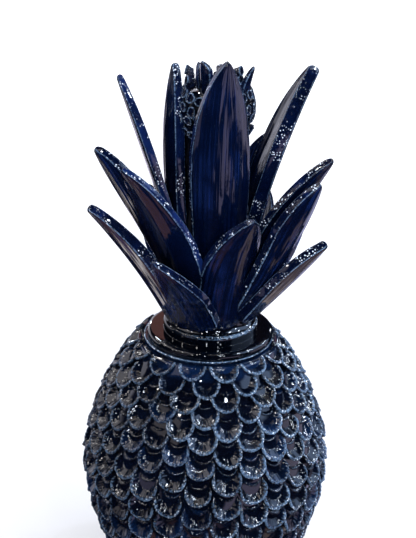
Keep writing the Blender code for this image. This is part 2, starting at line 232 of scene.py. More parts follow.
# What the glaze mirrors: cards by azimuth, lift, half width and half height (tangents), and colour
ROOM_DARK = (0.004, 0.005, 0.009, 1.0)
ROOM_BROWN = (0.018, 0.012, 0.015, 1.0)
CARD_WAVER = 0.5
CARD_CORE = 0.82
CARDS = (
    (-142, 7, 1.00, 0.31, (1.18, 1.18, 1.38)),
    (-166, -20, 0.28, 0.13, (1.15, 1.10, 1.32)),
    (-120, -49, 0.12, 0.11, (2.40, 2.20, 2.15)),
    (-110, 60, 0.80, 0.36, (1.45, 1.40, 1.48)),
    (-45, 17, 0.30, 0.12, (0.70, 0.65, 0.68)),
    (-56, -15, 0.30, 0.12, (0.42, 0.38, 0.56)),
    (95, 34, 0.75, 0.42, (1.00, 1.40, 2.20)),
    (100, -8, 0.45, 0.22, (0.80, 0.74, 1.02)),
    (142, -34, 0.36, 0.14, (0.85, 0.85, 1.30)),
    (142, -54, 0.45, 0.14, (0.95, 0.80, 0.76)),
    (100, -56, 0.30, 0.10, (0.50, 0.38, 0.36)),
    (36, -17, 0.34, 0.20, (0.80, 0.72, 1.10)),
    (-10, -50, 0.40, 0.10, (0.18, 0.10, 0.10)),
    (-86, -61, 0.30, 0.14, (0.36, 0.19, 0.18)),
    (20, 78, 0.14, 0.08, (2.20, 2.00, 1.85)),
    (-176, 24, 0.10, 0.08, (0.50, 0.24, 0.22)),
    (160, 40, 0.50, 0.12, (0.24, 0.25, 0.33)),
)

# Flower head
HEAD_ROUND = 19
HEAD_LOW = 502.0
HEAD_ROW_PITCH = 9.0
BLOSSOM_SIDES = 24
BLOSSOM_LOBES = 5
# Section of a blossom from its foot over the rim into its hollow: radius, distance along it, worn edge
BLOSSOM_SECTION = (
    (2.8, -2.5, 0.0),
    (3.5, 1.0, 0.0),
    (4.3, 3.2, 0.1),
    (4.9, 4.6, 0.3),
    (4.95, 5.4, 0.55),
    (4.4, 5.95, 0.65),
    (3.7, 5.8, 0.45),
    (3.2, 4.9, 0.1),
    (2.8, 3.4, 0.0),
    (1.8, 2.3, 0.0),
)
BLOSSOM_MIDDLE = 2.0
# Reach and tilt of the blossoms in each row, from the lowest up
HEAD_STEPS = ((27.6, -30.0), (29.0, -12.0), (29.0, 4.0), (27.0, 24.0))
# Clumps of blossoms that stand up over the head: azimuth, reach and top
HEAD_CLUMPS = ((-84, 28, 553), (62, 24, 556), (172, 22, 549), (-140, 17, 546), (112, 21, 547))
CLUMP_STEPS = 4
CLUMP_PITCH = 7.0
CLUMP_SPREAD = 12.0
CLUMP_TOP_DROP = 3.5
CLUMP_INSET = 4.5
# Pellets that fill a clump: how far in, how far below its top, and size
CLUMP_PELLETS = ((5.5, 14.0, 5.0), (4.5, 7.0, 3.6))
# A blossom's lobes, which start a little up its section, its oval and skew, its nod and its root
LOBE_SIZE = 0.045
LOBES_FROM = 2.6
OVAL_SIZE = 0.09
SKEW_SIZE = 0.04
BLOSSOM_NOD = 0.08
BLOSSOM_ROOT = 3.0
# Knobs where leaves join the trunk: azimuth, reach, height, size
TRUNK_KNOBS = ((-62, 33, 430, 4.2), (52, 34, 424, 4.4), (38, 36, 402, 3.6), (-98, 33, 405, 4.0),
               (150, 33, 420, 4.2), (-150, 33, 412, 4.2), (95, 33, 398, 4.0))
KNOB_LUMPS = 5
PELLET_SIDES = 18
PELLET_ROWS = 10
PELLET_LIFT = 80.0
PELLET_TALL = 1.2
PELLET_WAVES = (0.08, 0.08, 0.05)
PELLET_LEAN = (0.08, 0.06)


class Leaf(NamedTuple):
    """A slab of clay: where it starts and ends, and how its outline, bend and section run."""
    name: str
    azimuth: float
    foot_reach: float
    foot_height: float
    tip_reach: float
    tip_height: float
    bow: float
    width: float
    widest: float
    foot_share: float
    twist: float
    sideways: float
    cup: float
    thick: float


LEAVES = (
    Leaf("front_top", 12, 39, 354, 50, 570, 0, 55, 0.56, 0.67, -12, -1, 12, 6.5),
    Leaf("left_top_inner", -87, 31, 370, 40, 557, 11, 44, 0.43, 0.71, -20, 0, 7, 9.0),
    Leaf("left_top_outer", -78, 33, 375, 90, 548, 0, 34, 0.50, 0.69, -4, 0, 2, 7.5),
    Leaf("right_top", 104, 36, 366, 95, 549, -7, 40, 0.44, 0.72, 6, -2, 5, 13.0),
    Leaf("back_top", -165, 34, 362, 62, 505, 3, 46, 0.50, 0.70, 0, 0, 9, 8.5),
    Leaf("right_back", 142, 36, 352, 83, 474, 2, 44, 0.50, 0.70, 0, 0, 8, 8.5),
    Leaf("left_front_middle", -44, 37, 337, 107, 479, -4, 60, 0.42, 0.71, 0, -8, 9, 6.5),
    Leaf("left_middle", -76, 37, 345, 111, 483, 0, 48, 0.50, 0.70, -30, 0, 9, 9.0),
    Leaf("right_middle", 70, 35, 353, 111, 481, 0, 50, 0.40, 0.70, 20, 2, 10, 7.0),
    Leaf("right_front_middle", 55, 40, 323, 113, 468, 5, 42, 0.64, 0.65, 5, 1, 10, 7.5),
    Leaf("back_middle", 178, 38, 340, 104, 462, 0, 52, 0.45, 0.72, 0, 0, 9, 8.5),
    Leaf("front_low", 22, 39, 313, 80, 435, -5, 56, 0.43, 0.81, -7, 7, 11, 8.0),
    Leaf("left_front_low", -31, 40, 311, 93, 395, -1, 62, 0.45, 0.95, 20, -6, 9, 7.5),
    Leaf("left_low", -65, 43, 312, 123, 435, -4, 47, 0.42, 0.79, -12, -2, 6, 10.0),
    Leaf("right_low", 66, 41, 313, 113, 404, 1, 47, 0.45, 0.78, 8, 2, 7, 9.0),
    Leaf("right_back_low", 120, 42, 316, 103, 392, 2, 48, 0.45, 0.80, 0, 0, 8, 8.5),
    Leaf("back_low", 150, 42, 312, 108, 410, 0, 52, 0.45, 0.80, 0, 0, 8, 8.5),
    Leaf("left_back_low", -140, 42, 313, 110, 412, 0, 52, 0.45, 0.80, 0, 0, 8, 8.5),
)
PETALS = (
    Leaf("petal_left", -62, 14, 522, 17, 560, 0, 18, 0.78, 0.80, 0, 0, 4, 4.0),
    Leaf("petal_right", 78, 26, 522, 34, 556, 0, 15, 0.45, 0.80, 0, 0, 4, 4.0),
    Leaf("petal_front", 8, 13, 522, 16, 545, 0, 15, 0.50, 0.80, 0, 0, 4, 4.0),
    Leaf("petal_back", 150, 19, 522, 23, 552, 0, 15, 0.50, 0.80, 0, 0, 4, 4.0),
    Leaf("petal_left_back", -135, 21, 522, 26, 553, 0, 15, 0.50, 0.80, 0, 0, 4, 4.0),
)
LEAF_STATIONS = 44
LEAF_ACROSS = 33
PETAL_STATIONS = 18
PETAL_ACROSS = 13
# A leaf's outline: its foot starts narrow and rounds out, and it tapers past its widest place to a blunt tip
FOOT_ROUND = 0.10
FOOT_START = 0.55
TAPER_POWER = 1.9
TAPER_ROOT = 0.85
BLUNT_SHARE = 0.06
BLUNT_POWER = 8
LEAST_WIDTH = 0.02
# Rounded tip: length in millimetres, steps up to an angle, and the least width and thickness
TIP_ROUND = 4.0
TIP_STEPS = 6
TIP_TURN = 84.0
TIP_WIDTH = 0.35
TIP_THICK = 0.08
# Arris: radius, at most a share of the thickness and of the half width, and its curve from the face round
# to the side as place back from the edge and depth, both as shares, worn edge and blue glaze
ARRIS = 0.9
ARRIS_THICK_SHARE = 0.3
ARRIS_HALF_SHARE = 0.45
ARRIS_CURVE = ((0.5, 0.15, 1.0, 0.5), (0.1, 0.75, 0.6, 0.9), (0.0, 1.3, 0.0, 1.0))
ARRIS_WORN = 0.8
WORN_FROM_FOOT = 0.125
# The face next to an arris is a little worn too
RIM_REACH = 1.6
RIM_WORN = 0.15
FACE_BLUE = 0.1
# Marks of the hand: waves of the margin as turns, size and number of phase, thinning, brush marks and waves
SLAB_PHASES = 12
MARGIN_WAVES = ((9.0, 0.012, 0), (23.0, 0.010, 1), (51.0, 0.005, 8))
TIP_THINNING = 0.22
THICK_WAVE = 0.05
STRIATION_DEPTH = 0.20
FACE_WAVE_DEPTH = 0.35
LAY_APART = 50.0


def directions(azimuth):
    """Outward and sideways directions at an azimuth in degrees."""
    angle = math.radians(azimuth)
    outward = np.array((math.sin(angle), -math.cos(angle), 0.0))
    sideways = np.array((math.cos(angle), math.sin(angle), 0.0))
    return outward, sideways


def around(radius, height, azimuth):
    """Points at radii, heights and azimuths in degrees."""
    angle = np.radians(azimuth)
    return np.stack([radius * np.sin(angle), -radius * np.cos(angle), height + 0.0 * angle], -1)


def lit_side_share(azimuth, calm):
    """Share round the piece for the pale broken edges and the scales' grooves: fully on +X, less by a share
    on the other side. On the edges this is painted light from the +X side.
    """
    return 1.0 - calm * (0.5 - 0.5 * np.sin(np.radians(azimuth)))


def smooth_step(share):
    """Eases from 0 to 1 as a share goes from 0 to 1."""
    share = np.clip(share, 0.0, 1.0)
    return share * share * (3.0 - 2.0 * share)


# Fruit envelope by arc length

def fruit_radius(height):
    """Radius of the envelope at a height."""
    if height > WIDEST_HEIGHT:
        share = (height - WIDEST_HEIGHT) / CROWN_RISE
        return FRUIT_RADIUS * math.sqrt(max(0.0, 1.0 - share ** CROWN_POWER))
    share = (WIDEST_HEIGHT - height) / BASE_DROP
    return FRUIT_RADIUS * math.sqrt(max(0.0, 1.0 - share ** BASE_POWER))


ARC_HEIGHTS = np.linspace(ARC_TOP, 0.0, ARC_STEPS)
ARC_RADII = np.array([fruit_radius(height) for height in ARC_HEIGHTS])
ARC_LENGTHS = np.concatenate([[0.0], np.cumsum(np.hypot(np.diff(ARC_HEIGHTS), np.diff(ARC_RADII)))])
NORMAL_R = -np.gradient(ARC_HEIGHTS, ARC_LENGTHS)
NORMAL_Z = np.gradient(ARC_RADII, ARC_LENGTHS)


def on_fruit(arc, rise):
    """Radii and heights at arc lengths down the envelope, raised along its normal."""
    radius = np.interp(arc, ARC_LENGTHS, ARC_RADII) + rise * np.interp(arc, ARC_LENGTHS, NORMAL_R)
    height = np.interp(arc, ARC_LENGTHS, ARC_HEIGHTS) + rise * np.interp(arc, ARC_LENGTHS, NORMAL_Z)
    return radius, height


def tip_arc(ring):
    """Arc length of the lips' lowest points in a ring of scales."""
    return FIRST_TIP if ring == 0 else SECOND_TIP + RING_PITCH * (ring - 1)


# Meshes

def placed(name, data):
    """A new object in the scene for a mesh, a light or the camera."""
    thing = bpy.data.objects.new(name, data)
    bpy.context.collection.objects.link(thing)
    return thing


class Clay:
    """Points, faces and surface values of one piece, gathered shape by shape."""

    def __init__(self):
        self.points = []
        self.values = []
        self.lays = []
        self.faces = []
        self.count = 0

    def add(self, points, values, faces, lays=None):
        """Adds a shape: its points, its (worn, blue, chance) values and its faces by point number."""
        self.points.append(points)
        self.values.append(values)
        self.lays.append(points if lays is None else lays)
        self.faces += [tuple(int(corner) + self.count for corner in face) for face in faces]
        self.count += len(points)

    def piece(self, name, material, node):
        """Makes the object, which rides with the part and stands for a node."""
        mesh = bpy.data.meshes.new(name)
        mesh.from_pydata((np.concatenate(self.points) * MM).tolist(), [], self.faces)
        for title, rows in (("glaze", self.values), ("lay", self.lays)):
            layer = mesh.attributes.new(title, "FLOAT_VECTOR", "POINT")
            layer.data.foreach_set("vector", np.concatenate(rows).astype(np.float32).ravel())
        work = bmesh.new()
        work.from_mesh(mesh)
        bmesh.ops.recalc_face_normals(work, faces=work.faces)
        work.to_mesh(mesh)
        work.free()
        mesh.shade_smooth()
        mesh.materials.append(material)
        thing = placed(name, mesh)
        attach(thing, "root")
        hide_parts(node)


def grid_faces(rows, columns, wrap_columns=True, wrap_rows=False):
    """Quads over a grid of points numbered row by row."""
    index = np.arange(rows * columns).reshape(rows, columns)
    if wrap_rows:
        index = np.concatenate([index, index[:1]])
    if wrap_columns:
        index = np.concatenate([index, index[:, :1]], 1)
    quads = np.stack([index[:-1, :-1], index[1:, :-1], index[1:, 1:], index[:-1, 1:]], -1)
    return quads.reshape(-1, 4).tolist()


def fan_faces(ring, middle):
    """Triangles from a closed ring of point numbers to a middle point."""
    return [(corner, after, middle) for corner, after in zip(ring, ring[1:] + ring[:1])]


def closed_faces(rows, columns):
    """Quads over a grid of rings, and a fan at each end to the two points numbered after the grid."""
    index = list(range(rows * columns))
    faces = grid_faces(rows, columns) + fan_faces(index[:columns], rows * columns)
    return faces + fan_faces(index[-columns:], rows * columns + 1)


# Scales

def section_columns(section):
    """The columns of a section's table, stood upright so that they spread over angles."""
    return [column[:, None] for column in np.array(section).T]


def wobble(angle, chance, sizes):
    """A small irregular wave round a scale, from a few random phases."""
    phases = chance.uniform(0.0, math.tau, len(sizes))
    return sum(size * np.sin((order + 1) * angle + phase)
               for order, (size, phase) in enumerate(zip(sizes, phases)))


def spread_scale(angle, reach, half_width, chance):
    """Millimetres across and down from a scale's tip, for its reach all round, swayed a little aside."""
    turn = math.radians(chance.normal(0.0, SCALE_SWAY))
    return half_width * reach * np.sin(angle + turn), SCALE_DROP * (reach * np.cos(angle + turn) - 1.0)


def place_scale(clay, column, tip, across, down, rise, values, faces):
    """Lays a scale's points on the fruit, from millimetres across and down from its tip."""
    arc = np.maximum(tip + down, TOP_ARC)
    radius, height = on_fruit(arc, np.clip(rise, DEEPEST_RISE, SHALLOWEST_RISE))
    turn = column * 360.0 / COLUMNS + COLUMN_LEAN * (tip - SECOND_TIP)
    azimuth = turn + np.degrees(across / np.interp(arc, ARC_LENGTHS, ARC_RADII))
    clay.add(around(radius, height, azimuth), values, faces)


def proud_scale(clay, ring, column, chance):
    """A spoon-like cup with a raised lip and radial grooves, which sinks under its neighbours at the top."""
    fine = np.linspace(-SCALE_FINE_SPAN, SCALE_FINE_SPAN, SCALE_FINE)
    coarse = np.linspace(SCALE_FINE_SPAN, 360.0 - SCALE_FINE_SPAN, SCALE_COARSE + 2)[1:-1]
    angle = np.radians(np.concatenate([fine, coarse]))
    away = np.abs(np.degrees(np.arctan2(np.sin(angle), np.cos(angle))))
    share, level, edge, blue, groove = section_columns(CUP_SECTION)
    # Grooves and pale edges weaken away from +X; on the pale edges this is painted light from the +X side
    breaks_with_side_light = lit_side_share(column * 360.0 / COLUMNS, SCALES_SHADED_SIDE)

    size = chance.uniform(*SCALE_SIZES)
    reach = share * size * (1.0 + wobble(angle, chance, OUTLINE_WAVES))
    crusty = smooth_step((edge - CRUSTY_FROM) / CRUSTY_SPAN)
    grit = LIP_GRIT * crusty * chance.normal(0.0, 1.0, (len(share), len(angle)))
    reach = reach + grit / SCALE_DROP
    depth_share = chance.uniform(*SCALE_DEPTHS)
    grooves = chance.integers(*GROOVES) * 360.0 / GROOVE_FAN
    phase = chance.uniform(0.0, PHASE_SPAN)
    comb = 0.5 + 0.5 * np.cos(grooves * angle + phase + wobble(angle, chance, GROOVE_WAVES))
    cut = GROOVE_DEPTH * chance.uniform(*GROOVE_SHARES) ** 2 * max(0.0, 1.0 - GROOVE_CALM * (1.0 - breaks_with_side_light))

    rise = level * np.where(level > BURIED_RISE, depth_share, 1.0)
    rise = rise - cut * groove * comb * smooth_step((GROOVE_END - away) / GROOVE_FADE)
    floor = smooth_step((FLOOR_SHARE - share) / FLOOR_FADE)
    rise = rise + FLOOR_TILT * SCALE_DROP * reach * np.cos(angle) * floor
    rise = rise - UPPER_DROP * smooth_step((away - UPPER_FROM) / UPPER_FADE)
    rise = rise - LIP_SINK * (1.0 + wobble(angle, chance, LIP_WAVES))
    rise = rise - np.abs(wobble(angle, chance, LIP_LUMPS)) - np.abs(grit)

    across, down = spread_scale(angle, reach, SCALE_HALF_WIDTH, chance)
    rise = rise + SCALE_TILT * down + chance.uniform(*SCALE_SETTLES)
    rise = rise - TIP_TURN_IN * smooth_step(1.0 + down / TIP_TURN_LENGTH)
    across = np.append(across.ravel(), (0.0, 0.0)) + chance.normal(0.0, SCALE_ASIDE)
    down = np.append(down.ravel(), (-SCALE_DROP, -SCALE_DROP)) + chance.normal(0.0, SCALE_ALONG)
    rise = np.append(rise.ravel(), (CUP_MIDDLE_RISE * depth_share - SCALE_TILT * SCALE_DROP, DEEPEST_RISE))

    worn = edge * smooth_step((WORN_END - away) / WORN_FADE) * chance.uniform(*WORN_SHARES)
    # Painted light: the pale edges are paler towards +X
    worn = worn * breaks_with_side_light * (1.0 - GROOVE_WORN * groove * comb)
    blue = blue * (1.0 - GROOVE_BLUE * groove * comb)
    values = np.stack([worn.ravel(), blue.ravel(), np.zeros(worn.size)], -1)
    values = np.concatenate([values, np.zeros((2, 3))])
    values[:, 2] = chance.uniform()
    faces = closed_faces(len(share), len(angle))
    place_scale(clay, column, tip_arc(ring), across, down, rise, values, faces)


def hidden_lip(clay, ring, column, chance):
    """The lip of a scale in the layer below, a closed crescent."""
    angle = np.radians(np.linspace(-HIDDEN_SPAN, HIDDEN_SPAN, HIDDEN_FINE))
    share, level, edge, blue, groove = section_columns(LIP_SECTION)
    size = chance.uniform(*HIDDEN_SIZES)
    reach = share * size * (1.0 + wobble(angle, chance, HIDDEN_WAVES))
    comb = 0.5 + 0.5 * np.cos(HIDDEN_GROOVES * angle + chance.uniform(0.0, PHASE_SPAN))
    rise = level - GROOVE_DEPTH * groove * comb + HIDDEN_RISE
    across, down = spread_scale(angle, reach, HIDDEN_HALF_WIDTH, chance)
    down = down - HIDDEN_LIFT
    rise = rise + SCALE_TILT * down + chance.uniform(*HIDDEN_SETTLES)
    rise = rise - np.abs(wobble(angle, chance, LIP_LUMPS))
    rise = rise - HIDDEN_SINK * smooth_step(np.abs(angle) / math.radians(HIDDEN_SPAN))
    rise = rise - np.abs(HIDDEN_GRIT * edge * chance.normal(0.0, 1.0, rise.shape))
    worn = edge * chance.uniform(*HIDDEN_WORN) + 0.0 * angle
    blue = blue + 0.0 * angle
    values = np.stack([worn.ravel(), blue.ravel(), np.full(worn.size, chance.uniform())], -1)
    rows, count = worn.shape
    faces = grid_faces(rows, count, wrap_columns=False, wrap_rows=True)
    faces += [tuple(row * count + end for row in range(rows)) for end in (0, count - 1)]
    across = across.ravel() + chance.normal(0.0, HIDDEN_ASTRAY)
    down = down.ravel() + chance.normal(0.0, HIDDEN_ASTRAY)
    place_scale(clay, column, tip_arc(ring), across, down, rise.ravel(), values, faces)


def scale_bands(material):
    """The scales in bands of rings, proud ones where ring and column together are odd."""
    chance = np.random.default_rng(SEED)
    for start in range(0, RINGS, BAND_RINGS):
        clay = Clay()
        for ring in range(start, min(start + BAND_RINGS, RINGS)):
            for column in range(COLUMNS):
                if (ring + column) % 2 == 1:
                    proud_scale(clay, ring, column, chance)
                elif ring > 0:
                    hidden_lip(clay, ring, column, chance)
        clay.piece("scales_ring_%02d" % start, material, "jar_body")


# Turned work, from rows of radius, height, worn edge and blue glaze

def with_values(profile, worn, blue):
    """Rows for a profile's points, with the same worn edge and blue glaze all along."""
    return [(radius, height, worn, blue) for radius, height in profile]


def bend(start, corner, end, steps, worn, blue):
    """Rows along a curve from start to end that bends at a corner."""
    shares = np.linspace(0.0, 1.0, steps)[:, None]
    start, corner, end = np.array(start), np.array(corner), np.array(end)
    curve = start * (1 - shares) ** 2 + corner * 2 * shares * (1 - shares) + end * shares ** 2
    return with_values(curve.tolist(), worn, blue)


def fruit_rows(arcs, rises, worn, blue):
    """Rows that follow the fruit at arc lengths, raised along its normal."""
    radii, heights = on_fruit(np.array(arcs), np.array(rises))
    return with_values(zip(radii.tolist(), heights.tolist()), worn, blue)


def turned(clay, rows, chance, sides, unevenness=0.0, shift=0.0, calm=0.0):
    """A closed turned solid, made a little uneven by hand, from rows that start and end on the axis."""
    azimuth = np.arange(sides) * 360.0 / sides
    radius, height, worn, blue = np.array(rows).T
    ring_height = height[1:-1, None]
    hand = sum(share * np.sin(waves * np.radians(azimuth) + ring_height / lean + phase)
               for waves, lean, phase, share in HAND_WAVES)
    rings = around(radius[1:-1, None] + unevenness * hand, ring_height, azimuth).reshape(-1, 3)
    ends = np.array([(0.0, 0.0, height[0]), (0.0, 0.0, height[-1])])
    points = np.concatenate([rings, ends]) + shift
    values = np.stack([worn, blue, np.full(len(rows), chance)], -1)
    ring_values = np.repeat(values[1:-1], sides, 0)
    # Painted light: the worn edges are paler towards +X
    ring_values[:, 0] *= np.tile(lit_side_share(azimuth, calm), len(rows) - 2)
    values = np.concatenate([ring_values, values[[0, -1]]])
    clay.add(points, values, closed_faces(len(rows) - 2, sides))


def jar_shell(material):
    """Collar, mouth, ground between the scales, foot and smooth inner wall, as one closed shell."""
    rows = with_values([(0.0, FLOOR), (FLOOR_RADIUS, FLOOR)], 0.0, 0.2)
    inside = fruit_rows(np.linspace(286.0, 22.0, 26), -WALL, 0.0, 0.3)
    rows += [row for row in inside if row[1] > FLOOR + 3.0]
    rows += bend((51.5, 282.0), (MOUTH_RADIUS, 286.0), (MOUTH_RADIUS, 289.5), 5, 0.1, 0.3)
    rows += bend((MOUTH_RADIUS, 290.5), (MOUTH_RADIUS, MOUTH_HEIGHT), (52.5, MOUTH_HEIGHT), 5, 0.5, 0.3)
    rows += with_values([(57.0, MOUTH_HEIGHT), (60.2, MOUTH_HEIGHT)], 0.3, 0.3)
    rows += bend((60.9, MOUTH_HEIGHT), (RIM_RADIUS, MOUTH_HEIGHT), (RIM_RADIUS, 291.9), 4, 0.8, 0.2)
    rows += bend((RIM_RADIUS, 291.4), (RIM_RADIUS, 290.2), (60.6, 289.2), 4, 0.3, 0.5)
    rows += bend((60.0, 288.2), (59.8, 285.2), (63.0, 285.6), 6, 0.05, 1.0)
    rows += fruit_rows(COLLAR_ARCS, COLLAR_RISES, 0.05, 0.8)
    # The ground between the scales is near black: partly pooled glaze, partly painted shade
    rows += fruit_rows(np.linspace(18.0, 290.0, 40), GROUND_RISE, 0.0, 0.1)
    rows += fruit_rows([297.0], [-5.0], 0.1, 0.6)
    rows += bend((65.0, 12.0), (62.5, 7.0), (62.0, 3.0), 6, 0.15, 0.6)
    rows += bend((61.8, 1.6), (61.4, 0.0), (FOOT_RADIUS, 0.0), 4, 0.9, 0.2)
    rows += with_values([(54.0, 0.0), (52.5, 1.0), (30.0, UNDER_HEIGHT), (0.0, UNDER_HEIGHT)], 0.0, 0.0)
    clay = Clay()
    turned(clay, rows, 1.0, SHELL_SIDES)
    clay.piece("jar_shell", material, "jar_body")


def lid_and_trunk(material):
    """Lid disc with a rounded edge, its flange, and the hollow trunk up to the flower head's core."""
    rows = with_values([(0.0, 534.0), (12.0, 533.6), (21.0, 532.0)], 0.0, 0.2)
    rows += bend((25.0, 530.5), (30.5, 527.0), (CORE_RADIUS, 516.0), 6, 0.0, 0.2)
    rows += bend((CORE_RADIUS, 512.0), (CORE_RADIUS, 498.0), (28.8, 486.0), 6, 0.0, 0.2)
    heights = np.linspace(478.0, 326.0, 30)
    rows += with_values(zip(np.interp(heights, TRUNK_HEIGHTS, TRUNK_RADII), heights), 0.0, 0.2)
    rows += bend((38.0, 321.0), (38.8, 312.0), (42.6, 310.2), 6, 0.0, 0.05)
    rows += bend((43.3, 309.9), (44.9, 309.4), (45.1, 307.6), 5, 0.8, 0.0)
    rows += with_values([(45.1, 306.0), (45.0, 303.0)], 0.0, 0.0)
    rows += with_values([(44.9, 300.3), (44.9, LID_TOP), (45.3, LID_TOP), (50.0, LID_TOP)], 0.0, 0.0)
    flat, side = (LID_RADIUS - LID_EDGE, LID_TOP), (LID_RADIUS, LID_TOP - LID_EDGE)
    rows += bend(flat, (LID_RADIUS, LID_TOP), side, 9, 0.25, 0.0)
    rows += with_values([(60.4, 295.0), (60.2, 294.2)], 0.0, 0.0)
    rows += bend((60.1, 293.7), (60.0, LID_UNDER), (59.0, LID_UNDER), 4, 0.1, 0.2)
    rows += with_values([(53.0, LID_UNDER), (47.0, LID_UNDER)], 0.0, 0.0)
    rows += bend((FLANGE_RADIUS, 292.4), (FLANGE_RADIUS, FLANGE_FOOT), (44.6, FLANGE_FOOT), 6, 0.0, 0.0)
    rows += bend((42.4, FLANGE_FOOT), (FLANGE_BORE, FLANGE_FOOT), (FLANGE_BORE, 285.2), 5, 0.0, 0.0)
    rows += with_values([(40.3, 293.0), (36.0, 299.0), (30.0, 306.0), (27.0, 345.0)], 0.0, 0.0)
    rows += with_values([(24.0, 385.0), (21.5, 435.0), (19.0, 480.0), (12.0, 490.0), (0.0, 492.0)], 0.0, 0.0)
    clay = Clay()
    # The lid's worn edges fade away from +X: painted light
    turned(clay, rows, 0.6, LID_SIDES, LID_UNEVENNESS, LID_SHIFT, LID_SHADED_SIDE)
    clay.piece("lid_and_trunk", material, "crown_lid")


# Leaves

def width_share(place, leaf):
    """Share of the full width at a place from 0 at the foot to 1 at the tip."""
    if place < leaf.widest:
        share = leaf.foot_share + (1.0 - leaf.foot_share) * math.sin(place / leaf.widest * math.pi / 2.0)
        if place < FOOT_ROUND:
            rounding = math.sqrt(1.0 - (1.0 - place / FOOT_ROUND) ** 2)
            share *= FOOT_START + (1.0 - FOOT_START) * rounding
        return share
    past = (place - leaf.widest) / (1.0 - leaf.widest)
    taper = max(0.0, 1.0 - past ** TAPER_POWER) ** TAPER_ROOT
    blunt = 1.0 - past ** BLUNT_POWER
    return (1.0 - BLUNT_SHARE) * taper + BLUNT_SHARE * blunt + LEAST_WIDTH


def leaf_frame(leaf, place):
    """Middle point, sideways direction and inward direction of a leaf at a place along it."""
    outward, sideways = directions(leaf.azimuth)
    foot = np.array((leaf.foot_reach, leaf.foot_height), float)
    tip = np.array((leaf.tip_reach, leaf.tip_height), float)
    run = (tip - foot) / np.linalg.norm(tip - foot)
    control = (foot + tip) / 2.0 + np.array((run[1], -run[0])) * leaf.bow * 2.0
    rest = 1.0 - place
    middle = foot * rest ** 2 + control * (2.0 * place * rest) + tip * place ** 2
    slope = (control - foot) * rest + (tip - control) * place
    slope = slope / np.linalg.norm(slope)
    normal = outward * slope[1] - UP * slope[0]
    turn = math.radians(leaf.twist) * place
    across = sideways * math.cos(turn) + normal * math.sin(turn)
    inward = sideways * math.sin(turn) - normal * math.cos(turn)
    centre = outward * middle[0] + UP * middle[1] + sideways * (leaf.sideways * place ** 2)
    return centre, across, inward


def slab_places(length, stations):
    """Places along a slab, with extra ones where its tip rounds off."""
    tip_round = 1.0 - TIP_ROUND / length
    along = np.linspace(0.0, 1.0, stations - TIP_STEPS)
    turn = np.radians(np.linspace(0.0, TIP_TURN, TIP_STEPS + 1)[1:])
    return np.concatenate([along * tip_round, tip_round + (1.0 - tip_round) * np.sin(turn)])


def slab_section(half, thick, face):
    """Loop of a slab's section: place across from -1 to 1, depth, worn edge and blue edge."""
    arris = min(ARRIS, ARRIS_THICK_SHARE * thick, ARRIS_HALF_SHARE * half)
    inset = arris / half
    spread = np.linspace(-1.0 + inset, 1.0 - inset, len(face))
    near = RIM_WORN * (np.abs(spread) > 1.0 - RIM_REACH * inset)
    front = [(1.0 - back * inset, deep * arris, worn, blue) for back, deep, worn, blue in ARRIS_CURVE]
    rear = [(u, thick - depth, worn, blue) for u, depth, worn, blue in front[::-1]]
    edge = front + [(1.0, 0.5 * thick, 0.0, 1.0)] + rear
    loop = [(u, depth, worn, FACE_BLUE) for u, depth, worn in zip(spread, face, near)]
    loop += edge
    loop += [(u, thick - depth, worn, FACE_BLUE) for u, depth, worn in zip(spread[::-1], face[::-1], near)]
    return loop + [(-u, depth, worn, blue) for u, depth, worn, blue in edge[::-1]]


def face_relief(leaf, place, spread, phases):
    """Relief across a leaf's face at a place along it: fine marks of the brush on broad waves of the hand."""
    across = spread * leaf.width / 2.0
    drift = 1.3 * math.sin(3.0 * place + phases[4])
    sway = 0.8 * math.sin(7.0 * place + phases[9])
    marks = 0.6 * np.sin(0.45 * across + phases[3] + drift)
    marks = marks + 0.35 * np.sin(0.95 * across + phases[5] + 0.7 * drift + sway)
    waves = 0.8 * math.sin(5.0 * place + phases[6]) * spread
    waves = waves + 0.5 * np.sin(2.0 * spread + 6.0 * place + phases[7])
    return STRIATION_DEPTH * marks * (1.0 - spread ** 8) + FACE_WAVE_DEPTH * waves


def slab(clay, leaf, stations, across_count, chance):
    """A closed slab with soft arrises, a rounded tip and lengthwise marks of the hand and the brush."""
    phases = chance.uniform(0.0, math.tau, SLAB_PHASES)
    length = math.hypot(leaf.tip_reach - leaf.foot_reach, leaf.tip_height - leaf.foot_height)
    spread = np.linspace(-1.0, 1.0, across_count)
    points, values, lays = [], [], []
    for place in slab_places(length, stations):
        centre, across, inward = leaf_frame(leaf, place)
        share = width_share(place, leaf)
        left = (1.0 - place) * length / TIP_ROUND
        tip = math.sqrt(max(0.0, 1.0 - (1.0 - left) ** 2)) if left < 1.0 else 1.0
        waves = [size * math.sin(turns * place + phases[order]) for turns, size, order in MARGIN_WAVES]
        half = leaf.width / 2.0 * share * (1.0 + sum(waves)) * (TIP_WIDTH + (1.0 - TIP_WIDTH) * tip)
        full = leaf.thick * (1.0 - TIP_THINNING * place ** 4)
        full = full * (1.0 + THICK_WAVE * math.sin(7.0 * place + phases[2]))
        thick = full * (TIP_THICK + (1.0 - TIP_THICK) * tip)
        face = face_relief(leaf, place, spread, phases) * tip
        for u, depth, worn, blue in slab_section(half, thick, face):
            curl = leaf.cup * share * u * u + 0.5 * (full - thick)
            points.append(centre + across * (half * u) + inward * (curl + depth))
            worn = worn * ARRIS_WORN * min(1.0, place / WORN_FROM_FOOT)
            values.append((worn, blue, phases[0] / PHASE_SPAN))
            lays.append((u * (leaf.width * 0.25 + half * 0.5), place * length, LAY_APART * phases[1]))
    count = len(points) // stations
    points += [np.mean(points[:count], 0), np.mean(points[-count:], 0)]
    values += [(0.0, 0.3, 0.0), (0.6, 0.3, 0.0)]
    lays += [lays[0], lays[-1]]
    points = np.array(points) + LID_SHIFT
    clay.add(points, np.array(values), closed_faces(stations, count), np.array(lays))


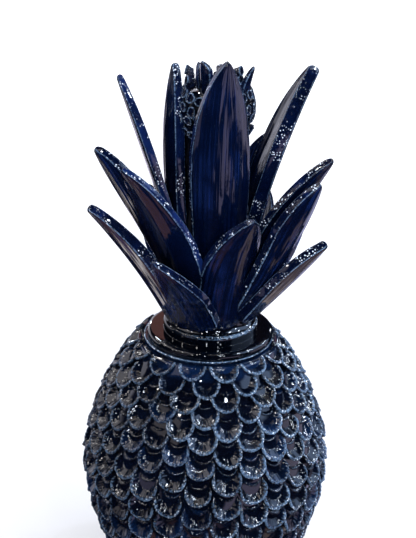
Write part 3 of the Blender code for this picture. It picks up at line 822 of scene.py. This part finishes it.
def leaves(material):
    """The leaves of the crown, each a piece of its own."""
    chance = np.random.default_rng(SEED + 1)
    for leaf in LEAVES:
        clay = Clay()
        slab(clay, leaf, LEAF_STATIONS, LEAF_ACROSS, chance)
        clay.piece("leaf_" + leaf.name, material, "crown_lid")


# Flower head

def blossom(clay, azimuth, reach, height, tilt, size, chance):
    """A small cup with a lobed rim and a dark hollow."""
    outward, sideways = directions(azimuth)
    lift = math.radians(tilt)
    axis = outward * math.cos(lift) + UP * math.sin(lift)
    rise = UP * math.cos(lift) - outward * math.sin(lift)
    axis = axis + sideways * chance.normal(0.0, BLOSSOM_NOD) + rise * chance.normal(0.0, BLOSSOM_NOD)
    foot = outward * reach + UP * height + LID_SHIFT
    turn = np.arange(BLOSSOM_SIDES) * math.tau / BLOSSOM_SIDES
    start = chance.uniform(0.0, PHASE_SPAN)
    oval = 1.0 + OVAL_SIZE * np.cos(2.0 * turn + 2.0 * start) + SKEW_SIZE * np.cos(3.0 * turn + start)
    points, values = [], []
    for radius, along, worn in BLOSSOM_SECTION:
        lobe = LOBE_SIZE if along > LOBES_FROM else 0.0
        spread = radius * size * (1.0 + lobe * np.cos(BLOSSOM_LOBES * turn + start)) * oval
        points.append(foot + axis * (along * size) + np.outer(spread * np.cos(turn), sideways)
                      + np.outer(spread * np.sin(turn), rise))
        values += [(worn, 0.2, 0.5)] * BLOSSOM_SIDES
    ends = [foot - axis * BLOSSOM_ROOT, foot + axis * (BLOSSOM_MIDDLE * size)]
    values += [(0.0, 0.1, 0.5)] * 2
    faces = closed_faces(len(BLOSSOM_SECTION), BLOSSOM_SIDES)
    clay.add(np.concatenate(points + [ends]), np.array(values), faces)


def pellet(clay, azimuth, reach, height, size, chance):
    """A knob of clay pressed on by hand."""
    angle = np.radians(np.linspace(0.0, 360.0, PELLET_SIDES, endpoint=False))
    lift = np.radians(np.linspace(-PELLET_LIFT, PELLET_LIFT, PELLET_ROWS))[:, None]
    bulge = 1.0 + wobble(angle, chance, PELLET_WAVES) * np.cos(lift)
    bulge = bulge + wobble(lift, chance, PELLET_LEAN)
    ball = np.stack([np.sin(angle) * np.cos(lift) * bulge, np.cos(angle) * np.cos(lift) * bulge,
                     np.sin(lift) * bulge * PELLET_TALL], -1).reshape(-1, 3)
    outward, _ = directions(azimuth)
    foot = outward * reach + UP * height + LID_SHIFT
    points = foot + size * np.concatenate([ball, [-PELLET_TALL * UP, PELLET_TALL * UP]])
    values = np.tile((0.12, 0.5, 0.5), (len(points), 1))
    clay.add(points, values, closed_faces(PELLET_ROWS, PELLET_SIDES))


def flower_head(material):
    """Rows of small blossoms round the head, clumps of them on top, and the petals between."""
    chance = np.random.default_rng(SEED + 2)
    clay = Clay()
    for row, (reach, tilt) in enumerate(HEAD_STEPS):
        for place in range(HEAD_ROUND):
            azimuth = (place + 0.5 * (row % 2)) * 360.0 / HEAD_ROUND + chance.normal(0.0, 2.4)
            height = HEAD_LOW + HEAD_ROW_PITCH * row + chance.normal(0.0, 1.1)
            out = reach + chance.normal(0.0, 0.5)
            blossom(clay, azimuth, out, height, tilt, chance.uniform(0.86, 1.06), chance)
    for azimuth, reach, top in HEAD_CLUMPS:
        for step in range(CLUMP_STEPS):
            turn = azimuth + CLUMP_SPREAD * (step % 2 - 0.5) + chance.normal(0.0, 4.0)
            height = top - CLUMP_PITCH * step - CLUMP_TOP_DROP
            size = chance.uniform(0.82, 0.95)
            blossom(clay, turn, reach - CLUMP_INSET, height, 14.0 - 6.0 * step, size, chance)
        for inset, below, size in CLUMP_PELLETS:
            pellet(clay, azimuth, reach - inset, top - below, size, chance)
    clay.piece("flower_head", material, "crown_lid")
    clay = Clay()
    for leaf in PETALS:
        slab(clay, leaf, PETAL_STATIONS, PETAL_ACROSS, chance)
    clay.piece("head_petals", material, "crown_lid")


def trunk_knobs(material):
    """Knobs of clay that hold the leaves' feet to the trunk."""
    chance = np.random.default_rng(SEED + 4)
    clay = Clay()
    for azimuth, reach, height, size in TRUNK_KNOBS:
        for _ in range(KNOB_LUMPS):
            spread = chance.normal(0.0, 1.0, 3)
            pellet(clay, azimuth + 6.0 * spread[0], reach + 1.2 * spread[1], height + 4.5 * spread[2],
                   size * chance.uniform(0.6, 1.0), chance)
    clay.piece("trunk_knobs", material, "crown_lid")


# Materials

PALE = (0.084, 0.142, 0.232, 1.0)
# White of the painted glints
GLINT_WHITE = (0.74, 0.82, 0.94, 1.0)
GLAZE_INDEX = 1.6
# Scales of the glaze's patterns, in turns per metre
PATCHES = 15.0
CLOUDS = 40.0
BOILED_SPOTS = 55.0
SPRINKLES = 75.0
WAVES = 110.0
BUBBLES = 330.0
DOTS = 470.0
SPECKS = 480.0
CRUSTS = 620.0
GLINT_FLECKS = 950.0
# Depths of the relief, in metres
WAVE_DEPTH = 0.0012
BUBBLE_DEPTH = 0.0004
CRUST_DEPTH = 0.0009
# Lengthwise streaks of the leaves: turns per millimetre across and along, and depth in metres
STREAKS = ((0.15, 0.004, 0.0012), (0.42, 0.008, 0.00065), (0.95, 0.014, 0.00025))
BRUSHED = (0.45, 0.006)
CALMED = (0.07, 0.012)


class Glaze(NamedTuple):
    """A cobalt glaze: its colours, its waves, where it boiled and where white painted glints are strewn."""
    name: str
    dark: tuple
    blue: tuple
    striated: bool = False
    waves: float = 0.06
    boiled_least: float = 0.02
    glint_patches: tuple = (0.40, 0.56)
    glint_edges: tuple = (0.4, 0.85)
    glint_on_blue: float = 0.25


BODY_GLAZE = Glaze("body_glaze", (0.0004, 0.0010, 0.0036, 1.0), (0.003, 0.014, 0.052, 1.0))
LID_GLAZE = Glaze("lid_glaze", (0.0003, 0.0008, 0.0024, 1.0), (0.002, 0.008, 0.040, 1.0))
CROWN_GLAZE = Glaze("crown_glaze", (0.0003, 0.0018, 0.0100, 1.0), (0.006, 0.018, 0.095, 1.0),
                    True, 0.05, 0.05, (0.52, 0.62), (0.25, 0.7), 0.8)


class Nodes:
    """Short calls for building a material or world from nodes."""

    def __init__(self, tree):
        self.tree = tree
        self.tree.nodes.clear()

    def add(self, kind, inputs=None, **settings):
        """Adds a node, sets its properties, and links or sets its inputs by name or number."""
        node = self.tree.nodes.new(kind)
        for key, value in settings.items():
            setattr(node, key, value)
        for key, value in (inputs or {}).items():
            if isinstance(value, bpy.types.NodeSocket):
                self.tree.links.new(value, node.inputs[key])
            else:
                node.inputs[key].default_value = value
        return node

    def noise(self, place, scale, detail=2.0):
        """Soft noise from 0 to 1."""
        inputs = {"Vector": place, "Scale": scale, "Detail": detail, "Roughness": 0.55}
        return self.add("ShaderNodeTexNoise", inputs).outputs["Fac"]

    def cells(self, place, scale):
        """Distance from the nearest of many scattered points."""
        return self.add("ShaderNodeTexVoronoi", {"Vector": place, "Scale": scale}).outputs["Distance"]

    def math(self, operation, first, second=0.0):
        """The result of an operation on two values."""
        return self.add("ShaderNodeMath", {0: first, 1: second}, operation=operation).outputs[0]

    def span(self, value, low, high, to_low=0.0, to_high=1.0):
        """A smooth step from to_low to to_high, as a value goes from low to high."""
        inputs = dict(enumerate((value, low, high, to_low, to_high)))
        return self.add("ShaderNodeMapRange", inputs, interpolation_type="SMOOTHSTEP").outputs[0]

    def mix(self, share, first, second):
        """A colour between two colours."""
        inputs = {"Factor": share, "A": first, "B": second}
        return self.add("ShaderNodeMix", inputs, data_type="RGBA").outputs["Result"]

    def streaks(self, lay, across, along, detail=2.0):
        """Noise drawn out along a leaf, in turns per millimetre."""
        node = self.add("ShaderNodeMapping", {"Vector": lay, "Scale": (across, along, 1.0)})
        return self.noise(node.outputs[0], 1.0, detail)

    def bump(self, height, distance, strength, normal=None):
        """A normal that follows a height, on top of an earlier one."""
        inputs = {"Height": height, "Distance": distance, "Strength": strength}
        if normal is not None:
            inputs["Normal"] = normal
        return self.add("ShaderNodeBump", inputs).outputs["Normal"]

    def surface(self, inputs):
        """Gives the material a Principled shader with these inputs."""
        shader = self.add("ShaderNodeBsdfPrincipled", inputs)
        self.add("ShaderNodeOutputMaterial", {"Surface": shader.outputs[0]})


def new_material(name):
    """A material, and the calls that build it."""
    material = bpy.data.materials.new(name)
    material.use_nodes = True
    return material, Nodes(material.node_tree)


def glaze_colour(nodes, glaze, spot, lay, surface, cloud, breaks_with_side_light):
    """Dark glaze, blue where it lies thick and near black in hollows, grooves and under lips, partly pooled
    glaze and partly painted shade; pale where it broke on edges, and in flecks painted as glints; with white
    painted glints strewn over them.
    """
    worn, blueness, chance = surface
    # Low blueness in hollows, grooves, under lips and between scales keeps the glaze near black: partly
    # pooled glaze, partly painted shade
    lively = nodes.math("MULTIPLY", blueness, nodes.span(chance, 0.45, 1.0, 0.08, 0.9))
    if glaze.striated:
        brushed = nodes.span(nodes.streaks(lay, *BRUSHED), 0.45, 0.70, 0.0, 0.5)
        lively = nodes.math("MAXIMUM", lively, brushed)
    lively = nodes.math("MULTIPLY", lively, nodes.span(cloud, 0.35, 0.65, 0.15, 1.0))
    body = nodes.mix(lively, glaze.dark, glaze.blue)
    # Pale flecks all over, painted glints
    glint_flecks = nodes.span(nodes.noise(spot, GLINT_FLECKS), 0.68, 0.76, 0.0, 0.20)
    pale_breaks_and_glints = nodes.math("MAXIMUM", nodes.span(breaks_with_side_light, 0.12, 0.85), glint_flecks)
    # Painted glints: white dots in patches over worn edges and the bluest glaze
    dots = nodes.span(nodes.cells(spot, DOTS), 0.20, 0.36, 1.0, 0.0)
    sprinkled = nodes.span(nodes.noise(spot, SPRINKLES), *glaze.glint_patches)
    edges = nodes.math("MAXIMUM", worn, nodes.span(blueness, 0.7, 1.0, 0.0, glaze.glint_on_blue))
    painted_glints = nodes.math("MULTIPLY", dots, sprinkled)
    painted_glints = nodes.math("MULTIPLY", painted_glints, nodes.span(edges, *glaze.glint_edges))
    return nodes.mix(painted_glints, nodes.mix(pale_breaks_and_glints, body, PALE), GLINT_WHITE)


def glaze_relief(nodes, glaze, spot, lay, worn, blueness):
    """Normal of the glaze: low waves, bubbles where it boiled, crusty edges and the brush's streaks."""
    normal = nodes.bump(nodes.noise(spot, WAVES, 1.5), WAVE_DEPTH, glaze.waves)
    open_to_boil = nodes.math("MAXIMUM", worn, blueness if glaze.striated else 0.0)
    open_to_boil = nodes.math("MAXIMUM", open_to_boil, glaze.boiled_least)
    boiled = nodes.math("MULTIPLY", nodes.span(nodes.noise(spot, BOILED_SPOTS), 0.47, 0.60), open_to_boil)
    bubbles = nodes.span(nodes.cells(spot, BUBBLES), 0.0, 0.40, 1.0, 0.0)
    normal = nodes.bump(nodes.math("MULTIPLY", bubbles, boiled), BUBBLE_DEPTH, 0.7, normal)
    crust = nodes.math("MULTIPLY", nodes.noise(spot, CRUSTS), nodes.span(worn, 0.3, 0.9))
    normal = nodes.bump(crust, CRUST_DEPTH, 0.9, normal)
    if glaze.striated:
        calm = nodes.span(nodes.streaks(lay, *CALMED), 0.38, 0.62, 0.25, 1.0)
        calm = nodes.math("MULTIPLY", calm, nodes.span(blueness, 0.0, 0.1))
        for across, along, depth in STREAKS:
            streak = nodes.streaks(lay, across, along, 1.5)
            normal = nodes.bump(nodes.math("MULTIPLY", streak, calm), depth, 0.6, normal)
    return normal


def glazed(glaze):
    """Cobalt glaze that goes near black in hollows, grooves and under lips, partly pooled glaze and partly
    painted shade, breaks pale on edges, paler towards +X as painted light, carries white painted glints, and
    boiled here and there.
    """
    material, nodes = new_material(glaze.name)
    spot = nodes.add("ShaderNodeTexCoord").outputs["Object"]
    lay = nodes.add("ShaderNodeAttribute", attribute_name="lay").outputs["Vector"] if glaze.striated else None
    values = nodes.add("ShaderNodeAttribute", attribute_name="glaze").outputs["Vector"]
    parts = nodes.add("ShaderNodeSeparateXYZ", {0: values}).outputs
    worn, blueness, _ = parts
    cloud = nodes.noise(spot, CLOUDS, 4.0)
    breaks_with_side_light = nodes.math("MULTIPLY", worn, nodes.span(nodes.noise(spot, SPECKS, 3.0), 0.32, 0.60, 0.30, 1.1))
    breaks_with_side_light = nodes.math("MULTIPLY", breaks_with_side_light, nodes.span(nodes.noise(spot, PATCHES), 0.38, 0.58, 0.65, 1.0))
    rough = nodes.math("ADD", nodes.span(cloud, 0.3, 0.7, 0.02, 0.06), nodes.math("MULTIPLY", breaks_with_side_light, 0.02))
    colour = glaze_colour(nodes, glaze, spot, lay, parts, cloud, breaks_with_side_light)
    normal = glaze_relief(nodes, glaze, spot, lay, worn, blueness)
    nodes.surface({"Base Color": colour, "Roughness": rough, "IOR": GLAZE_INDEX, "Normal": normal})
    return material


# Stage, lights and camera

FLOOR_COLOUR = (0.55, 0.55, 0.56, 1.0)
FLOOR_GLOW = (0.15, 0.80)
FLOOR_GLOW_REACH = (0.2, 2.4)
ROOM_RADIUS = 6.0
ROOM_HEIGHT = 4.0
ROOM_SIDES = 64
LAMP_CENTRE = (0.0, 0.0, 0.3)
SUN_STRENGTH = 1.2
SUN_SPREAD = 60.0
SUN_TILT = (18.0, 14.0)


def stage():
    """A plain pale floor, lit evenly into the distance, and a pale wall far round it."""
    material, nodes = new_material("pale_floor")
    spot = nodes.add("ShaderNodeTexCoord").outputs["Object"]
    away = nodes.add("ShaderNodeVectorMath", {0: spot}, operation="LENGTH")
    glow = nodes.span(away.outputs["Value"], *FLOOR_GLOW_REACH, *FLOOR_GLOW)
    nodes.surface({"Base Color": FLOOR_COLOUR, "Roughness": 0.9, "Specular IOR Level": 0.0,
                   "Emission Color": (1.0, 1.0, 1.0, 1.0), "Emission Strength": glow})
    turn = np.arange(ROOM_SIDES) * math.tau / ROOM_SIDES
    ring = ROOM_RADIUS * np.stack([np.cos(turn), np.sin(turn), 0.0 * turn], -1)
    floor = bpy.data.meshes.new("floor")
    floor.from_pydata(ring.tolist(), [], [tuple(range(ROOM_SIDES))])
    wall = bpy.data.meshes.new("wall")
    wall.from_pydata(np.concatenate([ring, ring + ROOM_HEIGHT * UP]).tolist(), [], grid_faces(2, ROOM_SIDES))
    for mesh in (floor, wall):
        mesh.materials.append(material)
        thing = placed(mesh.name, mesh)
        thing.visible_glossy = False


def lights():
    """Small bright lamps all round for sparkle, and a soft light from above that the glaze doesn't mirror."""
    middle = np.array(LAMP_CENTRE)
    chance = np.random.default_rng(SEED + 5)
    lamps = [(lift, (place + 0.5) * 360.0 / count) for lift, count in LAMP_ROWS for place in range(count)]
    for index, (lift, turn) in enumerate(lamps):
        outward, _ = directions(turn + chance.normal(0.0, LAMP_SWAY))
        rise = math.radians(lift + chance.normal(0.0, LAMP_NOD))
        place = middle + LAMP_DISTANCE * (outward * math.cos(rise) + UP * math.sin(rise))
        light = bpy.data.lights.new("lamp_%02d" % index, "AREA")
        light.shape = "DISK"
        light.size = LAMP_SIZE * chance.uniform(*LAMP_SIZES)
        light.energy = LAMP_WATTS * (1.0 + LAMP_LEAN * outward[0])
        light.color = COOL if outward[0] > WARM_SIDE else WARM
        lamp = placed(light.name, light)
        lamp.location = place
        lamp.rotation_euler = Vector(middle - place).to_track_quat("-Z", "Y").to_euler()
        lamp.visible_camera = False
    light = bpy.data.lights.new("soft_top", "SUN")
    light.energy = SUN_STRENGTH
    light.angle = math.radians(SUN_SPREAD)
    lamp = placed("soft_top", light)
    lamp.rotation_euler = (*(math.radians(angle) for angle in SUN_TILT), 0.0)
    lamp.visible_glossy = False


def card(nodes, way, waver, azimuth, lift, half_width, half_height):
    """Share of a wavy-edged card in the view along a direction, with its sizes as tangents."""
    outward, sideways = directions(azimuth)
    rise = math.radians(lift)
    ahead = outward * math.cos(rise) + UP * math.sin(rise)
    upward = UP * math.cos(rise) - outward * math.sin(rise)

    def along(axis):
        inputs = {0: way, 1: tuple(axis)}
        return nodes.add("ShaderNodeVectorMath", inputs, operation="DOT_PRODUCT").outputs["Value"]

    depth = nodes.math("MAXIMUM", along(ahead), 0.02)
    share = nodes.span(along(ahead), 0.05, 0.15)
    for axis, half in ((sideways, half_width), (upward, half_height)):
        place = nodes.math("ABSOLUTE", nodes.math("DIVIDE", along(axis), depth))
        place = nodes.math("ADD", place, nodes.math("MULTIPLY", waver, CARD_WAVER * half))
        share = nodes.math("MULTIPLY", share, nodes.span(place, half, CARD_CORE * half))
    return share


def world():
    """A dark room with pale and duller cards round it, for the glaze to mirror."""
    room = bpy.data.worlds.new("dark_room")
    room.use_nodes = True
    bpy.context.scene.world = room
    nodes = Nodes(room.node_tree)
    way = nodes.add("ShaderNodeTexCoord").outputs["Generated"]
    waver = nodes.math("SUBTRACT", nodes.noise(way, 3.5, 3.0), 0.5)
    colour = nodes.mix(nodes.span(nodes.noise(way, 2.0), 0.42, 0.60), ROOM_DARK, ROOM_BROWN)
    for *place, paint in CARDS:
        colour = nodes.mix(card(nodes, way, waver, *place), colour, (*paint, 1.0))
    background = nodes.add("ShaderNodeBackground", {"Color": colour})
    nodes.add("ShaderNodeOutputWorld", {"Surface": background.outputs[0]})


def camera():
    """A camera at the photograph's viewing angle, rolled a little about its own line of sight."""
    pitch, yaw, roll = (math.radians(angle) for angle in (CAMERA_PITCH, CAMERA_YAW, CAMERA_ROLL))
    ahead = Vector((math.sin(yaw) * math.cos(pitch), math.cos(yaw) * math.cos(pitch), -math.sin(pitch)))
    right = ahead.cross(Vector(UP)).normalized()
    up = right.cross(ahead)
    right, up = right * math.cos(roll) + up * math.sin(roll), up * math.cos(roll) - right * math.sin(roll)
    lens = bpy.data.cameras.new("camera")
    lens.lens = CAMERA_LENS
    lens.sensor_width = CAMERA_SENSOR
    eye = placed("camera", lens)
    turn = Matrix((right, up, -ahead)).transposed()
    eye.matrix_world = Matrix.Translation(CAMERA_PLACE) @ turn.to_4x4()
    bpy.context.scene.camera = eye


body_glaze = glazed(BODY_GLAZE)
crown_glaze = glazed(CROWN_GLAZE)
jar_shell(body_glaze)
scale_bands(body_glaze)
lid_and_trunk(glazed(LID_GLAZE))
leaves(crown_glaze)
flower_head(crown_glaze)
trunk_knobs(crown_glaze)
stage()
lights()
world()
camera()
bpy.context.scene.view_settings.view_transform = "Standard"
